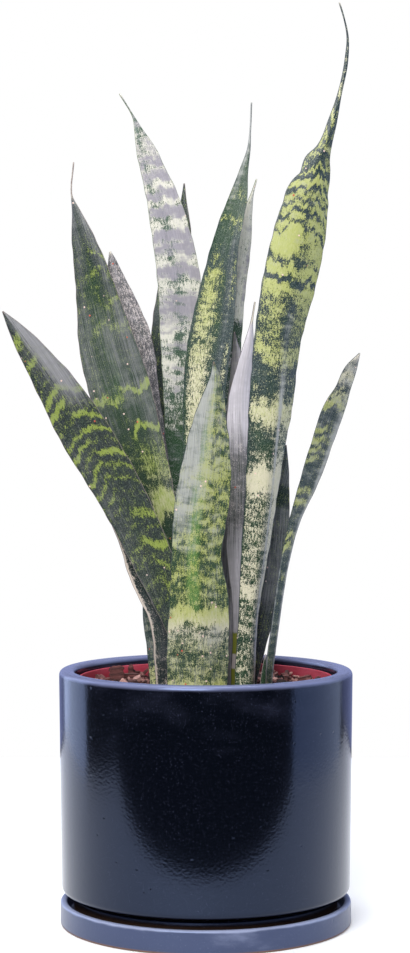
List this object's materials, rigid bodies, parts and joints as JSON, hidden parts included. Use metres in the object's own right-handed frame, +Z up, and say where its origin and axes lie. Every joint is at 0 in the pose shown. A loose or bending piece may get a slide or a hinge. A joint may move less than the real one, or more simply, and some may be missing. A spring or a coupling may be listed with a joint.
{
  "type": "potted snake plant",
  "caption": "Snake plant with banded upright sword leaves in bark mix, in a nursery pot inside a dark glazed pot on a matching saucer.",
  "frame": {"origin": "centre of the saucer's flat underside", "axes": "+Z up; the plant's front looks along -Y, +X to its right as seen from the front"},
  "size_m": [0.2045, 0.174, 0.5431],
  "materials": {
    "saucer_glaze": "satin",
    "pot_glaze": "gloss",
    "red_plastic": "satin",
    "bark_mix": "matte",
    "bark": "matte",
    "leaf_banded": "satin",
    "leaf_dark": "satin",
    "leaf_grey": "satin",
    "leaf_pale": "satin"
  },
  "bodies": {
    "root": {"saucer": "saucer_glaze", "glazed_pot": "pot_glaze", "nursery_pot": "red_plastic", "potting_soil": "bark_mix", "leaf_front": "leaf_banded", "leaf_left_low": "leaf_dark", "leaf_left_broad": "leaf_dark", "leaf_left_rear": "leaf_grey", "leaf_pale_tall": "leaf_pale", "leaf_dark_rear": "leaf_dark", "leaf_centre_tall": "leaf_banded", "leaf_narrow_pale": "leaf_pale", "leaf_tallest": "leaf_banded", "leaf_grey_centre": "leaf_grey", "leaf_grey_rear": "leaf_grey", "leaf_right_low": "leaf_banded", "leaf_dark_right": "leaf_dark", "leaf_left_base": "leaf_dark", "leaf_stub_left": "leaf_dark", "shoot_dark": "leaf_dark", "bark_chip_1": "bark", "bark_chip_2": "bark", "bark_chip_3": "bark", "bark_chip_4": "bark", "bark_chip_5": "bark", "bark_chip_6": "bark"}
  },
  "joints": []
}
